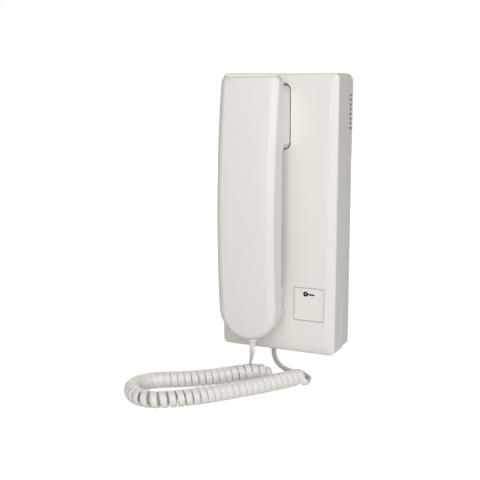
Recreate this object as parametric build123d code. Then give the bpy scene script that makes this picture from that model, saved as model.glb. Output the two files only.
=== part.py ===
# Wall-mounted audio intercom: a base unit, a handset that hangs on it, and a curly cord.
# Millimetres. X runs to the viewer's right, Z up, and the room lies on the -Y side of the wall.
# The origin is the middle of the wall-screw pattern, on the back face of the rear cover.
# Depths are counted from the wall into the room, so a depth d lies at Y = -d.
from build123d import *
import os
import numpy as np
from math import radians, tan

# Base unit. Its outer size follows from what it holds, in the lines under these values.
base_corner = 4.0
base_wall = 2.2
face_wall = 2.8
face_corner = 0.6
bevel_width = 6.5
bevel_drop = 1.7
bevel_round = 1.5
parting_depth = 12.8
rear_inset = 0.2
rear_corner = 5.5
rear_floor = 2.2
rear_chamfer = 0.6
lip_height = 2.4
lip_wall = 1.1
lip_clearance = 0.15
pry_groove_width = 1.2
pry_groove_cut = 0.5
pry_groove_length = 34.0
pry_groove_setback = 5.2
pry_groove_rise = 6.0

# Wall fixing, on the rear cover
wall_screw_margin = 16.0
wall_screw_radius = 2.25
wall_pad_radius = 6.0
wall_pad_height = 1.4
cable_hole_radius = 6.0
cable_hole_side_margin = 5.0
cable_hole_rise = 80.0

# Vent slots in the rear cover's right wall
vent_count = 8
vent_pitch = 3.3
vent_height = 1.4
vent_length = 3.6
vent_depth = 4.7
vent_top_drop = 15.3

# Circuit board and its parts, placed from the board's right and bottom edges
board_hook_margin = 13.9
board_right_margin = 5.0
board_top_margin = 38.0
board_low_margin = 22.0
board_back = 8.0
board_thickness = 1.6
board_boss_radius = 3.0
board_hole_radius = 1.6
board_hole_inset = 4.0
board_screw_radius = 1.25
board_screw_length = 5.0
board_head_radius = 2.6
board_head_height = 1.7
pilot_clearance = 0.05
terminal_ways = 5
terminal_pitch = 5.0
terminal_width = 9.0
terminal_height = 9.5
terminal_rise = 50.0
terminal_screw_radius = 1.6
terminal_screw_length = 3.2
terminal_well = 4.2
terminal_mouth = 2.8
chip_width = 6.6
chip_length = 10.0
chip_height = 3.4
chip_inset = 25.0
chip_rise = 70.0
capacitor_radii = (4.0, 3.2)
capacitor_heights = (12.0, 10.5)
capacitor_inset = 10.0
capacitor_rise = 82.0
capacitor_pitch = 12.0
trimmer_size = 7.0
trimmer_height = 3.4
trimmer_knob_radius = 2.2
trimmer_knob_height = 1.0
trimmer_inset = 26.0
trimmer_gap = 7.5

# Call-tone speaker behind the vents
call_radius = 13.5
call_depth = 9.0
call_side_margin = 3.5
call_top_margin = 8.5
call_ring_wall = 1.3
call_ring_height = 5.0

# Earpiece speaker inside the handset
ear_speaker_clearance = 1.75
ear_speaker_depth = 9.0
ear_felt = 0.5
speaker_wall = 1.0
speaker_cone = 0.5
speaker_cone_sides = 24
magnet_share = 0.5

# Handset shells, and how the handset hangs on the base
handset_width = 44.2
handset_length = 186.5
handset_side_margin = 8.8
handset_top_margin = 1.4
handset_low_margin = 12.1
finger_gap = 10.3
handset_rim = 4.1
handset_thickness = 20.3
handset_bow_radius = 584.0
handset_crown_offset = 6.4
handset_top_corner = 5.4
handset_low_flat = 1.2
handset_edge_round = 4.6
handset_wall = 2.2
back_inset = 0.35
back_floor = 2.0
back_chamfer = 1.2
back_lip_height = 2.4
back_lip_wall = 1.1

# Ear block and mouth block, which stand out of the handset's back into the base
ear_block_height = 44.4
ear_block_drop = 6.4
ear_block_corner = 4.0
ear_block_gap = 2.5
ear_slot_count = 5
ear_slot_width = 1.8
ear_slot_length = 18.0
ear_slot_pitch = 4.4
mouth_block_inset = 5.6
mouth_block_rise = 23.6
mouth_slot_count = 3
mouth_slot_width = 1.6
mouth_slot_length = 6.0
mouth_slot_pitch = 3.6
block_wall = 2.0
recess_clearance = 0.9
recess_wall = 2.0
seat_gap = 0.3
ear_recess_depth = 9.5
mouth_recess_depth = 3.2

# Handset fittings
handset_screw_setback = 16.0
handset_screw_radius = 1.4
handset_screw_length = 11.0
handset_screw_head_radius = 2.8
handset_screw_head_height = 1.1
handset_boss_radius = 3.4
weight_width = 20.0
weight_end_gap = 4.6
weight_thickness = 6.0
mic_radius = 4.85
mic_length = 5.0
boot_wall = 1.6
boot_floor = 1.2

# Cradle switch
hook_width = 8.0
hook_height = 12.0
hook_rise = 7.1
hook_travel = 4.0
hook_clearance = 0.3
hook_tip_round = 1.6
hook_flange_reach = 2.0
hook_flange_thickness = 1.2
hook_arm_length = 7.0
hook_arm_width = 4.0
hook_sleeve_radius = 3.0
hook_sleeve_length = 2.5
hook_peg_radius = 1.5
hook_peg_clearance = 0.2
hook_peg_reach = 3.4
hook_bore_spare = 2.2
spring_cup_floor = 1.5
spring_cup_rim = 1.2
spring_cup_wall = 0.8
spring_wire = 0.8
spring_radius = 4.3
spring_length = 5.1
spring_turns = 2
spring_sides = 4
switch_width = 6.5
switch_length = 13.0
switch_nub_radius = 1.2
switch_nub_height = 0.7

# Door-release button
button_width = 22.5
button_height = 23.7
button_handset_gap = 4.35
button_side_margin = 8.15
button_rise = 36.6
button_gap = 0.35
button_proud = 0.3
button_travel = 1.5
button_cap = 2.0
button_edge_round = 0.5
button_skirt_wall = 1.4
button_skirt_length = 4.6
button_flange = 1.2
button_flange_thickness = 1.5
button_post_radius = 2.5
tact_size = 12.0
tact_height = 4.0
tact_stem_radius = 1.75
tact_stem_clearance = 0.1
tact_stem_seat = 0.5
tact_stem_reach = 4.6
tact_bore_spare = 0.4

# Screw in the underside that holds the front housing, and the latches at the top
cover_screw_inset = 20.0
cover_screw_setback = 3.3
cover_screw_radius = 1.4
cover_screw_length = 8.0
cover_screw_head_radius = 2.8
cover_screw_head_height = 1.0
screw_passage = 0.3
cover_boss_width = 9.0
cover_boss_height = 7.0
latch_width = 9.0
latch_thickness = 1.6
latch_reach = 5.5
latch_spacing = 44.0

# Cord: a flat lead at each end and a coiled length that lies on the surface below
grommet_radius = 3.0
grommet_flange = 0.8
grommet_flange_thickness = 1.2
grommet_clearance = 0.1
base_cord_offset = 6.9
base_cord_share = 0.587
handset_cord_setback = 4.1
handset_cord_offset = 2.0
lead_width = 3.8
lead_thickness = 2.0
lead_drop = 4.8
arc_share = 0.45
wire_diameter = 3.4
wire_sides = 5
coil_outer_diameter = 12.6
coil_drop = 20.0
coil_turns = 49.75
stations_per_turn = 4
samples_per_turn = 72

# The coil's axis on the surface, from the base's end round the bend to the handset's end.
# Every place on the cord is counted from the middle of the cord's hole in the base's underside.
coil_axis_points = [
    (23.7, -4.5), (14.7, -20.0), (-2.8, -44.0), (-24.8, -71.5), (-43.8, -88.7), (-57.3, -93.4),
    (-71.0, -86.2), (-79.0, -70.8), (-72.8, -56.0), (-56.8, -46.8), (-38.8, -35.5), (-18.8, -15.0),
    (-2.8, -3.0),
]
# Relative pitch of the turns, at shares of the axis's length
pitch_place_shares = (0.0, 0.26, 0.34, 0.40, 0.46, 0.50, 0.66, 0.70, 0.88, 0.93, 1.0)
pitch_size_shares = (0.97, 0.97, 1.08, 1.28, 1.28, 1.16, 1.16, 0.98, 0.98, 1.20, 1.24)

# Free stretches, chosen by hand: points of each lead, and places and headings of the coil's loose ends
base_lead_points = [
    (0.0, 0.0, -6.8), (2.4, 0.6, -12.2), (7.3, 1.0, -16.0), (13.0, 1.3, -17.5),
]
handset_lead_points = [
    (-6.4, -25.4, -0.2), (-9.9, -18.6, -5.8), (-14.4, -10.4, -11.0), (-18.1, -2.6, -16.8),
]
loose_start = [
    ((26.5, 1.2, -21.2), (0.70, -0.55, -0.45)),
    ((30.5, -4.4, -24.2), (-0.05, -0.99, -0.15)),
]
loose_end = [
    ((-9.3, 4.5, -23.8), (-0.95, 0.20, 0.24)),
    ((-16.1, 2.7, -20.6), (-0.50, -0.45, 0.74)),
]

# How far a cut runs past the faces it opens, and how near an edge lies to the depth it is sought at
overrun = 1.0
edge_reach = 0.01
# Small round details get this many sides, which keeps their facets few
small_round_radius = 4.5
small_round_sides = 12

base_width = (
    handset_side_margin + handset_width + button_handset_gap + button_width + button_side_margin
)
base_height = handset_top_margin + handset_length + handset_low_margin
board_front = board_back + board_thickness
hook_flange_back = board_front + spring_cup_floor + spring_length
hook_flange_front = hook_flange_back + hook_flange_thickness
ear_recess_floor = hook_flange_front + hook_travel + 2 * pilot_clearance + recess_wall
base_depth = ear_recess_floor + ear_recess_depth
mouth_recess_floor = base_depth - mouth_recess_depth
face_back = base_depth - face_wall
side_depth = base_depth - bevel_drop
floor_z = -base_height / 2
left_x = -base_width / 2
right_x = base_width / 2
wall_screw_spacing = base_height - 2 * wall_screw_margin

handset_x = left_x + handset_side_margin + handset_width / 2
handset_top = base_height / 2 - handset_top_margin
handset_low = handset_top - handset_length
handset_crown_z = handset_low + handset_length / 2 - handset_crown_offset
handset_low_corner = (handset_width - handset_low_flat) / 2
handset_back_depth = base_depth + finger_gap
handset_parting_depth = handset_back_depth + handset_rim
handset_crown_depth = handset_back_depth + handset_thickness
inner_floor = handset_back_depth + back_floor
ear_x = handset_x
ear_z = handset_top - ear_block_drop - ear_block_height / 2
ear_width = handset_width - 2 * back_inset
ear_block_end = ear_recess_floor + ear_block_gap
ear_speaker_radius = min(ear_width, ear_block_height) / 2 - block_wall - ear_speaker_clearance
mouth_x = handset_x
mouth_z = handset_low + mouth_block_rise
mouth_block_radius = handset_width / 2 - mouth_block_inset
mouth_block_end = mouth_recess_floor + seat_gap
grip_top = ear_z - ear_block_height / 2
grip_low = mouth_z + mouth_block_radius
grip_z = (grip_top + grip_low) / 2
handset_screw_spacing = grip_top - grip_low - 2 * handset_screw_setback
weight_length = handset_screw_spacing - 2 * (handset_boss_radius + weight_end_gap)

hook_x = handset_x
board_left = hook_x - board_hook_margin
board_right = right_x - board_right_margin
board_low = floor_z + board_low_margin
board_width = board_right - board_left
board_height = base_height - board_low_margin - board_top_margin
board_x = (board_left + board_right) / 2
board_z = board_low + board_height / 2
call_x = right_x - call_side_margin - call_radius
call_z = base_height / 2 - call_top_margin - call_radius
hook_z = grip_top + hook_rise
hook_tip = ear_block_end - seat_gap
switch_top = hook_flange_back - seat_gap - switch_nub_height
button_x = right_x - button_side_margin - button_width / 2
button_z = floor_z + button_rise
button_post_end = board_front + tact_height + tact_stem_reach
cover_screw_x = right_x - cover_screw_inset
cover_screw_depth = parting_depth + lip_height + cover_screw_setback

grommet_reach = grommet_radius + grommet_flange
base_cord_x = handset_x + base_cord_offset
base_cord_depth = parting_depth + lip_height + base_cord_share * (face_back - parting_depth - lip_height)
handset_cord_x = handset_x + handset_cord_offset
handset_cord_depth = handset_parting_depth + handset_cord_setback
cord_place = np.array([base_cord_x, -base_cord_depth, floor_z])
coil_radius = (coil_outer_diameter - wire_diameter) / 2


def level(depth):
    """Drawing plane at a depth from the wall, facing the room: its x is X and its y is Z."""
    return Plane(origin=(0, -depth, 0), x_dir=(1, 0, 0), z_dir=(0, -1, 0))


def plate(outline, back, front):
    """Solid with an outline drawn in X and Z, between two depths."""
    return extrude(level(back) * outline, front - back)


def rounded(x, z, width, height, corner):
    return Pos(x, z) * RectangleRounded(width, height, corner)


def square(x, z, width, height):
    return Pos(x, z) * Rectangle(width, height)


def disc(x, z, radius):
    """Round outline, or a many-sided one where it is small."""
    if radius > small_round_radius:
        return Pos(x, z) * Circle(radius)
    return Pos(x, z) * RegularPolygon(radius, small_round_sides)


def upright(x, depth, low, high, radius):
    """Round post along Z between two heights."""
    return extrude(Pos(x, -depth, low) * disc(0, 0, radius), high - low)


def edges_at(solid, depth):
    return [e for e in solid.edges() if abs(e.center().Y + depth) < edge_reach]


def offset_row(count, pitch):
    """Places of a centred row."""
    return [(i - (count - 1) / 2) * pitch for i in range(count)]


def board_corners():
    """The four screw places of the circuit board."""
    dx = board_width / 2 - board_hole_inset
    dz = board_height / 2 - board_hole_inset
    return [(board_x + sx * dx, board_z + sz * dz) for sx in (-1, 1) for sz in (-1, 1)]


def rear_cover():
    """Wall-side tray with its bosses, wall-screw pads, cable hole, vents and latches."""
    width = base_width - 2 * rear_inset
    height = base_height - 2 * rear_inset
    body = plate(RectangleRounded(width, height, rear_corner), 0, parting_depth)
    body = chamfer(edges_at(body, 0), rear_chamfer)
    inner_width = base_width - 2 * base_wall
    inner_height = base_height - 2 * base_wall
    inner_corner = base_corner - base_wall
    lip_width = inner_width - 2 * lip_clearance
    lip_top = inner_height - 2 * lip_clearance
    lip_corner = inner_corner - lip_clearance
    body += plate(RectangleRounded(lip_width, lip_top, lip_corner), parting_depth, parting_depth + lip_height)
    body -= plate(
        RectangleRounded(lip_width - 2 * lip_wall, lip_top - 2 * lip_wall, lip_corner - lip_wall),
        rear_floor, parting_depth + lip_height + overrun,
    )
    for x, z in board_corners():
        body += plate(disc(x, z, board_boss_radius), rear_floor, board_back)
        body -= plate(disc(x, z, board_screw_radius + pilot_clearance), rear_floor, board_back + overrun)
    for side in (-1, 1):
        z = side * wall_screw_spacing / 2
        body += plate(disc(0, z, wall_pad_radius), rear_floor, rear_floor + wall_pad_height)
        screw_hole = Pos(0, z) * Circle(wall_screw_radius)
        body -= plate(screw_hole, -overrun, rear_floor + wall_pad_height + overrun)
    cable_x = left_x + cable_hole_side_margin + cable_hole_radius
    cable_z = floor_z + cable_hole_rise
    body -= plate(disc(cable_x, cable_z, cable_hole_radius), -overrun, rear_floor + overrun)
    ring = disc(call_x, call_z, call_radius + seat_gap + call_ring_wall)
    ring -= disc(call_x, call_z, call_radius + seat_gap)
    body += plate(ring, rear_floor, rear_floor + call_ring_height)
    vent_mid = base_height / 2 - vent_top_drop - (vent_count - 1) * vent_pitch / 2
    for z in offset_row(vent_count, vent_pitch):
        body -= Pos(width / 2, -vent_depth, vent_mid + z) * Box(
            4 * base_wall, vent_length, vent_height
        )
    boss_low = floor_z + base_wall + seat_gap
    boss_top = cover_screw_depth + cover_boss_width / 2
    body += plate(
        square(cover_screw_x, boss_low + cover_boss_height / 2, cover_boss_width, cover_boss_height),
        rear_floor, boss_top,
    )
    body -= upright(
        cover_screw_x, cover_screw_depth, boss_low - overrun, boss_low + cover_boss_height + overrun,
        cover_screw_radius + pilot_clearance,
    )
    for x in offset_row(2, latch_spacing):
        z = lip_top / 2 - lip_wall - latch_thickness / 2
        body += plate(
            square(x, z, latch_width, latch_thickness), rear_floor, parting_depth + lip_height + latch_reach
        )
    return body


def front_housing():
    """Front shell: bevelled face, ear and mouth recesses, button opening, cord and screw holes."""
    outline = RectangleRounded(base_width, base_height, base_corner)
    face = RectangleRounded(base_width - 2 * bevel_width, base_height - 2 * bevel_width, face_corner)
    body = plate(outline, parting_depth, side_depth)
    body += loft([level(side_depth) * outline, level(base_depth) * face], ruled=True)
    body = fillet(edges_at(body, side_depth), bevel_round)
    body -= plate(
        RectangleRounded(base_width - 2 * base_wall, base_height - 2 * base_wall, base_corner - base_wall),
        parting_depth - overrun, face_back,
    )
    recess_width = ear_width + 2 * recess_clearance
    recess_height = ear_block_height + 2 * recess_clearance
    recess_corner = ear_block_corner + recess_clearance
    body += plate(
        rounded(
            ear_x, ear_z, recess_width + 2 * recess_wall, recess_height + 2 * recess_wall,
            recess_corner + recess_wall,
        ),
        ear_recess_floor - recess_wall, face_back,
    )
    body -= plate(
        rounded(ear_x, ear_z, recess_width, recess_height, recess_corner),
        ear_recess_floor, base_depth + overrun,
    )
    mouth_radius = mouth_block_radius + recess_clearance
    body += plate(disc(mouth_x, mouth_z, mouth_radius + recess_wall), mouth_recess_floor - recess_wall, face_back)
    body -= plate(disc(mouth_x, mouth_z, mouth_radius), mouth_recess_floor, base_depth + overrun)
    body -= plate(
        square(hook_x, hook_z, hook_width + 2 * hook_clearance, hook_height + 2 * hook_clearance),
        ear_recess_floor - recess_wall - overrun, ear_recess_floor + overrun,
    )
    body -= plate(
        square(button_x, button_z, button_width + 2 * button_gap, button_height + 2 * button_gap),
        face_back - overrun, base_depth + overrun,
    )
    groove_z = floor_z + pry_groove_rise + pry_groove_length / 2
    body -= Pos(right_x, -parting_depth - pry_groove_setback, groove_z) * Box(
        2 * pry_groove_cut, pry_groove_width, pry_groove_length
    )
    wall_top = floor_z + base_wall + overrun
    body -= upright(
        base_cord_x, base_cord_depth, floor_z - overrun, wall_top, grommet_radius + grommet_clearance
    )
    body -= upright(
        cover_screw_x, cover_screw_depth, floor_z - overrun, wall_top,
        cover_screw_radius + screw_passage,
    )
    body -= upright(
        cover_screw_x, cover_screw_depth, floor_z - overrun, floor_z + cover_screw_head_height,
        cover_screw_head_radius + screw_passage,
    )
    return body


def cover_screw():
    """Countersunk-depth pan screw in the underside."""
    head_top = floor_z + cover_screw_head_height
    head = upright(cover_screw_x, cover_screw_depth, floor_z, head_top, cover_screw_head_radius)
    return head + upright(
        cover_screw_x, cover_screw_depth, head_top, head_top + cover_screw_length, cover_screw_radius
    )


def main_board():
    body = plate(square(board_x, board_z, board_width, board_height), board_back, board_front)
    for x, z in board_corners():
        body -= plate(disc(x, z, board_hole_radius), board_back - overrun, board_front + overrun)
    return body


def board_screws():
    screws = []
    for x, z in board_corners():
        shank = plate(disc(x, z, board_screw_radius), board_front - board_screw_length, board_front)
        screws.append(shank + plate(disc(x, z, board_head_radius), board_front, board_front + board_head_height))
    return Compound(children=screws)


def terminal_block():
    """Screw terminals at the board's left edge, with a mouth to the left of each for its wire."""
    x = board_left + terminal_width / 2
    middle = board_low + terminal_rise
    length = terminal_ways * terminal_pitch
    top = board_front + terminal_height
    body = plate(square(x, middle, terminal_width, length), board_front, top)
    for dz in offset_row(terminal_ways, terminal_pitch):
        z = middle + dz
        body -= plate(disc(x, z, terminal_screw_radius + seat_gap), top - terminal_well, top + overrun)
        body -= Pos(x - terminal_width / 2, -board_front - terminal_mouth, z) * Box(
            terminal_width / 2, terminal_mouth, terminal_mouth
        )
    return body


def terminal_screws():
    x = board_left + terminal_width / 2
    middle = board_low + terminal_rise
    low = board_front + terminal_height - terminal_well
    return Compound(children=[
        plate(disc(x, middle + dz, terminal_screw_radius), low, low + terminal_screw_length)
        for dz in offset_row(terminal_ways, terminal_pitch)
    ])


def amplifier_chip():
    outline = square(board_right - chip_inset, board_low + chip_rise, chip_width, chip_length)
    return plate(outline, board_front, board_front + chip_height)


def capacitors():
    cans = []
    for i, (radius, height) in enumerate(zip(capacitor_radii, capacitor_heights)):
        z = board_low + capacitor_rise + i * capacitor_pitch
        cans.append(plate(disc(board_right - capacitor_inset, z, radius), board_front, board_front + height))
    return Compound(children=cans)


def volume_trimmer():
    x = board_right - trimmer_inset
    z = board_low + chip_rise + chip_length / 2 + trimmer_gap + trimmer_size / 2
    top = board_front + trimmer_height
    body = plate(square(x, z, trimmer_size, trimmer_size), board_front, top)
    return body + plate(disc(x, z, trimmer_knob_radius), top, top + trimmer_knob_height)


def speaker(x, z, rim_depth, facing, radius, depth):
    """Frame, cone and magnet of a small speaker. Facing is 1 where its rim looks toward the room."""
    def slab(outline, start, stop):
        depths = (rim_depth - facing * start, rim_depth - facing * stop)
        return plate(outline, min(depths), max(depths))

    def ring(size, run):
        return level(rim_depth - facing * run) * Pos(x, z) * RegularPolygon(size, speaker_cone_sides)

    basket = radius - speaker_wall
    magnet = radius * magnet_share
    shoulder = depth / 2
    frame = slab(disc(x, z, radius), 0, shoulder) - slab(disc(x, z, basket), 0, shoulder - speaker_wall)
    frame -= slab(disc(x, z, magnet / 2), 0, shoulder)
    throat = shoulder - speaker_wall - speaker_cone
    cone = loft([ring(basket, speaker_cone), ring(magnet / 2, throat + speaker_cone)], ruled=True)
    cone += slab(Pos(x, z) * RegularPolygon(basket, speaker_cone_sides), 0, speaker_cone)
    cone -= loft([ring(basket - speaker_cone, 0), ring(magnet / 2 - speaker_cone, throat)], ruled=True)
    return frame, cone, slab(disc(x, z, magnet), shoulder, depth)


def handset_outline(inset, depth_plane):
    """Outline of the handset seen from the front: small corners at the top, a full round below."""
    half = handset_width / 2 - inset
    top = handset_top - inset
    low = handset_low + inset
    upper = handset_top_corner - inset
    lower = handset_low_corner - inset
    left = handset_x - half
    right = handset_x + half
    corners = [(left, low), (right, low), (right, top), (left, top)]
    face = make_face(Polyline(*corners, close=True))
    low_points = face.vertices().group_by(Axis.Y)[0]
    face = fillet(low_points, lower)
    top_points = face.vertices().group_by(Axis.Y)[-1]
    face = fillet(top_points, upper)
    return level(depth_plane) * face


def handset_form(inset, back):
    """The handset's outline carried forward from a depth up to its bowed front."""
    body = extrude(handset_outline(inset, back), handset_crown_depth + overrun - back)
    bow_radius = handset_bow_radius - inset
    bow_centre = handset_crown_depth - handset_bow_radius
    bow = Pos(handset_x, -bow_centre, handset_crown_z) * Rot(0, 90, 0) * Cylinder(
        bow_radius, handset_width + overrun
    )
    return body & bow


def handset_bosses():
    """Places of the two screws that hold the handset's shells together."""
    return [(handset_x, grip_z + dz) for dz in offset_row(2, handset_screw_spacing)]


def handset_shell():
    """Outer shell, bowed lengthwise, with two screw bosses and the cord hole."""
    body = handset_form(0, handset_parting_depth)
    front = [e for e in body.edges() if -e.center().Y > handset_parting_depth + handset_edge_round
             and -e.bounding_box().max.Y > handset_parting_depth + edge_reach]
    body = fillet(front, handset_edge_round)
    body -= handset_form(handset_wall, handset_parting_depth - overrun)
    for x, z in handset_bosses():
        body += plate(
            disc(x, z, handset_boss_radius), inner_floor + seat_gap, handset_crown_depth - handset_wall
        )
        body -= plate(
            disc(x, z, handset_screw_radius + pilot_clearance), inner_floor,
            handset_back_depth + handset_screw_head_height + handset_screw_length + overrun,
        )
    body -= upright(
        handset_cord_x, handset_cord_depth, handset_low - overrun, handset_low + handset_wall + overrun,
        grommet_radius + grommet_clearance,
    )
    return body


def handset_back():
    """Inner shell with the hollow ear and mouth blocks, their sound slots and a lip."""
    outer = extrude(handset_outline(back_inset, handset_back_depth), handset_parting_depth - handset_back_depth)
    body = chamfer(edges_at(outer, handset_back_depth), back_chamfer)
    lip_inset = handset_wall + lip_clearance
    body += extrude(handset_outline(lip_inset, handset_parting_depth), back_lip_height)
    body -= extrude(
        handset_outline(lip_inset + back_lip_wall, inner_floor),
        handset_parting_depth + back_lip_height + overrun - inner_floor,
    )
    body += plate(
        rounded(ear_x, ear_z, ear_width, ear_block_height, ear_block_corner), ear_block_end, inner_floor
    )
    body -= plate(
        rounded(
            ear_x, ear_z, ear_width - 2 * block_wall, ear_block_height - 2 * block_wall,
            ear_block_corner - block_wall,
        ),
        ear_block_end + block_wall, inner_floor + overrun,
    )
    body += plate(disc(mouth_x, mouth_z, mouth_block_radius), mouth_block_end, inner_floor)
    body -= plate(
        disc(mouth_x, mouth_z, mouth_block_radius - block_wall),
        mouth_block_end + block_wall, inner_floor + overrun,
    )
    for dz in offset_row(ear_slot_count, ear_slot_pitch):
        body -= plate(
            square(ear_x, ear_z + dz, ear_slot_length, ear_slot_width),
            ear_block_end - overrun, ear_block_end + block_wall + overrun,
        )
    for dz in offset_row(mouth_slot_count, mouth_slot_pitch):
        body -= plate(
            square(mouth_x, mouth_z + dz, mouth_slot_length, mouth_slot_width),
            mouth_block_end - overrun, mouth_block_end + block_wall + overrun,
        )
    for x, z in handset_bosses():
        body -= plate(
            disc(x, z, handset_screw_radius + screw_passage),
            handset_back_depth - overrun, inner_floor + overrun,
        )
        body -= plate(
            disc(x, z, handset_screw_head_radius + screw_passage),
            handset_back_depth - overrun, handset_back_depth + handset_screw_head_height,
        )
    body -= upright(
        handset_cord_x, handset_cord_depth, handset_low - overrun, handset_low + 2 * grommet_reach,
        grommet_reach + grommet_clearance,
    )
    return body


def handset_screws():
    head_top = handset_back_depth + handset_screw_head_height
    return Compound(children=[
        plate(disc(x, z, handset_screw_head_radius), handset_back_depth, head_top)
        + plate(disc(x, z, handset_screw_radius), head_top, head_top + handset_screw_length)
        for x, z in handset_bosses()
    ])


def handset_weight():
    return plate(
        square(handset_x, grip_z, weight_width, weight_length),
        inner_floor, inner_floor + weight_thickness,
    )


def microphone_boot():
    """Rubber cup that holds the microphone behind the mouth slots."""
    low = mouth_block_end + block_wall
    body = plate(disc(mouth_x, mouth_z, mic_radius + boot_wall), low, low + mic_length + boot_floor)
    return body - plate(disc(mouth_x, mouth_z, mic_radius), low - overrun, low + mic_length)


def microphone():
    low = mouth_block_end + block_wall
    return plate(disc(mouth_x, mouth_z, mic_radius), low, low + mic_length)


def earpiece_felt():
    low = ear_block_end + block_wall
    return plate(disc(ear_x, ear_z, ear_speaker_radius), low, low + ear_felt)


def hook_plunger():
    """Plunger that the handset's ear block holds pressed in, with the arm that works the switch."""
    outer = plate(square(hook_x, hook_z, hook_width, hook_height), hook_flange_front, hook_tip)
    body = fillet(edges_at(outer, hook_tip), hook_tip_round)
    body += plate(
        square(hook_x, hook_z, hook_width + 2 * hook_flange_reach, hook_height + 2 * hook_flange_reach),
        hook_flange_back, hook_flange_front,
    )
    arm_x = hook_x + hook_width / 2 + hook_flange_reach + hook_arm_length / 2
    body += plate(square(arm_x, hook_z, hook_arm_length, hook_arm_width), hook_flange_back, hook_flange_front)
    sleeve_end = hook_flange_back - hook_sleeve_length
    body += plate(disc(hook_x, hook_z, hook_sleeve_radius), sleeve_end, hook_flange_back)
    peg_top = peg_end()
    body -= plate(
        disc(hook_x, hook_z, hook_peg_radius + hook_peg_clearance), sleeve_end - overrun,
        peg_top + hook_bore_spare,
    )
    return body


def peg_end():
    return hook_flange_back + hook_peg_reach


def hook_spring_cup():
    """Cup on the board that seats the spring, with the peg that guides the plunger."""
    floor_top = board_front + spring_cup_floor
    outer = spring_radius + spring_wire + spring_cup_wall
    body = plate(disc(hook_x, hook_z, outer), board_front, floor_top + spring_cup_rim)
    body -= plate(disc(hook_x, hook_z, outer - spring_cup_wall), floor_top, floor_top + spring_cup_rim + overrun)
    return body + plate(disc(hook_x, hook_z, hook_peg_radius), floor_top, peg_end())


def hook_switch():
    """Snap-action switch on the board, beside the plunger and under its arm."""
    x = hook_x + hook_width / 2 + hook_flange_reach + hook_arm_length - switch_width / 2
    body = plate(square(x, hook_z, switch_width, switch_length), board_front, switch_top)
    return body + plate(disc(x, hook_z, switch_nub_radius), switch_top, switch_top + switch_nub_height)


def door_button():
    """Square cap with a skirt, a flange behind the face and a post to the switch."""
    front = base_depth + button_proud
    cap_back = front - button_cap
    body = plate(square(button_x, button_z, button_width, button_height), cap_back, front)
    body = fillet(edges_at(body, front), button_edge_round)
    skirt_end = cap_back - button_skirt_length
    body += plate(square(button_x, button_z, button_width, button_height), skirt_end, cap_back)
    flange_front = face_back - seat_gap
    body += plate(
        square(button_x, button_z, button_width + 2 * button_flange, button_height),
        flange_front - button_flange_thickness, flange_front,
    )
    body -= plate(
        square(
            button_x, button_z, button_width - 2 * button_skirt_wall, button_height - 2 * button_skirt_wall
        ),
        skirt_end - overrun, cap_back,
    )
    return body + plate(disc(button_x, button_z, button_post_radius), button_post_end, cap_back)


def door_switch():
    top = board_front + tact_height
    body = plate(square(button_x, button_z, tact_size, tact_size), board_front, top)
    bore = tact_stem_radius + tact_stem_clearance
    bottom = top - tact_stem_seat - button_travel - tact_bore_spare
    return body - plate(disc(button_x, button_z, bore), bottom, top + overrun)


def door_switch_stem():
    low = board_front + tact_height - tact_stem_seat
    return plate(disc(button_x, button_z, tact_stem_radius), low, button_post_end)


def grommet(x, depth, low, wall, bottom_radius=None, offset=0):
    """Bush in a wall's hole, flanged on both sides. On a round bottom its inner flange sits higher,
    the more so the further it lies from the bottom's middle."""
    top = low + wall
    if bottom_radius:
        inner_radius = bottom_radius - wall
        top += inner_radius - np.sqrt(inner_radius**2 - (grommet_reach + offset) ** 2) + grommet_clearance
    body = upright(x, depth, low, top, grommet_radius)
    body += upright(x, depth, low - grommet_flange_thickness, low, grommet_reach)
    return body + upright(x, depth, top, top + grommet_flange_thickness, grommet_reach)


def axis_curve(points, count):
    """Smooth line through a row of control points: a clamped quadratic spline, sampled evenly."""
    points = np.array(points)
    mids = (points[1:-2] + points[2:-1]) / 2
    starts = np.vstack([points[:1], mids])
    ends = np.vstack([mids, points[-1:]])
    t = np.linspace(0, 1, count)[:, None]
    spans = [
        (1 - t) ** 2 * a + 2 * t * (1 - t) * b + t**2 * c
        for a, b, c in zip(starts, points[1:-1], ends)
    ]
    return np.vstack([s[:-1] for s in spans[:-1]] + [spans[-1]])


def coil_line(turns):
    """Places on the wire's centre line for an array of turn counts from the base's end."""
    axis = cord_place[:2] + axis_curve(coil_axis_points, samples_per_turn)
    run = np.r_[0, np.cumsum(np.linalg.norm(np.diff(axis, axis=0), axis=1))]
    pitch = np.interp(run / run[-1], pitch_place_shares, pitch_size_shares)
    count = np.r_[0, np.cumsum(np.diff(run) * (1 / pitch[1:] + 1 / pitch[:-1]) / 2)]
    where = np.interp(turns, count / count[-1] * coil_turns, run)
    x, y = (np.interp(where, run, axis[:, i]) for i in (0, 1))
    heading = np.gradient(axis, run, axis=0)
    heading /= np.linalg.norm(heading, axis=1)[:, None]
    hx, hy = (np.interp(where, run, heading[:, i]) for i in (0, 1))
    out = coil_radius * np.cos(2 * np.pi * turns)
    up = coil_radius * np.sin(2 * np.pi * turns)
    return np.column_stack([x - hy * out, y + hx * out, floor_z - coil_drop + up])


def biarc(start, leave, end, arrive):
    """Two tangent arcs from one place and heading to the next, as edges."""
    gap = end - start
    both = leave + arrive
    lack = 2 * (1 - leave @ arrive)
    along = gap @ both
    reach = (np.sqrt(along**2 + lack * (gap @ gap)) - along) / lack
    middle = (start + reach * leave + end - reach * arrive) / 2
    turn = (end - reach * arrive - start - reach * leave)
    first = Edge.make_tangent_arc(tuple(start), tuple(leave), tuple(middle))
    return [first, Edge.make_tangent_arc(tuple(middle), tuple(turn), tuple(end))]


def unit(vector):
    vector = np.array(vector, float)
    return vector / np.linalg.norm(vector)


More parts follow.
